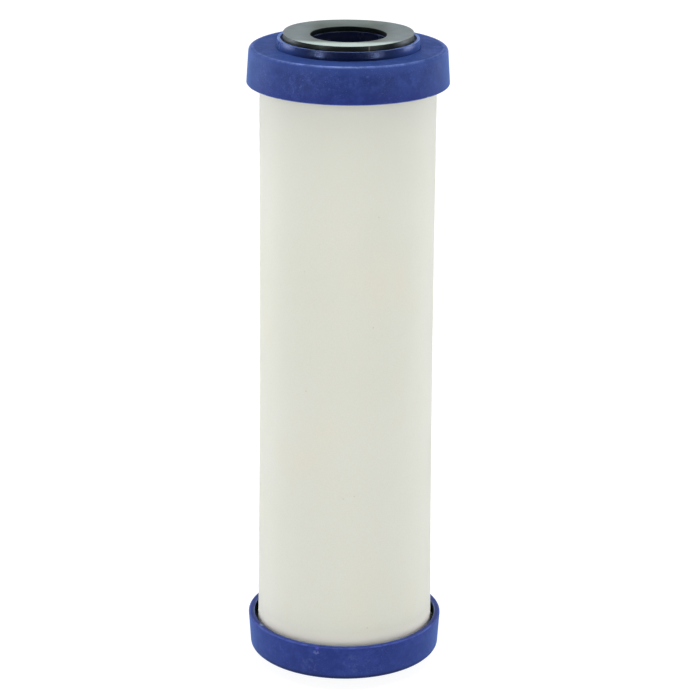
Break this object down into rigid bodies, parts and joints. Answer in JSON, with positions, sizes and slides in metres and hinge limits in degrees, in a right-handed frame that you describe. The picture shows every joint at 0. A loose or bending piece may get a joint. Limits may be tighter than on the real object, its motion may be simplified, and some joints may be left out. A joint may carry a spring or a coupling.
{
  "type": "ceramic water filter cartridge",
  "caption": "Drop-in water filter cartridge, open at both ends: porous ceramic tube round a carbon block, between blue end caps with flat rubber washers and a bore right through.",
  "frame": {"origin": "middle of the lower washer's underside, where the standing cartridge touches the surface", "axes": "+Z along the cartridge towards the upper washer; X and Y are any pair square to it, as the cartridge is round"},
  "size_m": [0.075, 0.075, 0.248],
  "materials": {
    "ceramic": "unglazed, fine-pored, matt, cream-white",
    "cap_plastic": "injection-moulded, satin gloss, royal blue, lightly scuffed",
    "gasket_rubber": "matt dark grey sheet rubber, cut edges",
    "core_plastic": "natural white polypropylene",
    "fleece": "white non-woven fleece",
    "carbon": "activated carbon powder bound with polyethylene, dull black, granular",
    "net_plastic": "natural white polyethylene net",
    "adhesive": "set adhesive, off-white, slightly translucent"
  },
  "bodies": {
    "cartridge": {"ceramic_shell": "ceramic", "top_end_cap": "cap_plastic", "bottom_end_cap": "cap_plastic", "core_tube": "core_plastic", "fines_sleeve": "fleece", "carbon_block": "carbon", "fleece_wrap": "fleece", "support_net": "net_plastic", "top_shell_potting": "adhesive", "bottom_shell_potting": "adhesive", "top_block_potting": "adhesive", "bottom_block_potting": "adhesive"},
    "upper_washer": {"top_gasket": "gasket_rubber"},
    "lower_washer": {"bottom_gasket": "gasket_rubber"}
  },
  "joints": [
    {"name": "top_gasket_lift", "type": "slide", "parent": "cartridge", "child": "upper_washer", "axis": [0, 0, 1], "range_m": [0, 0.02]},
    {"name": "bottom_gasket_drop", "type": "slide", "parent": "cartridge", "child": "lower_washer", "axis": [0, 0, -1], "range_m": [0, 0.02]}
  ]
}
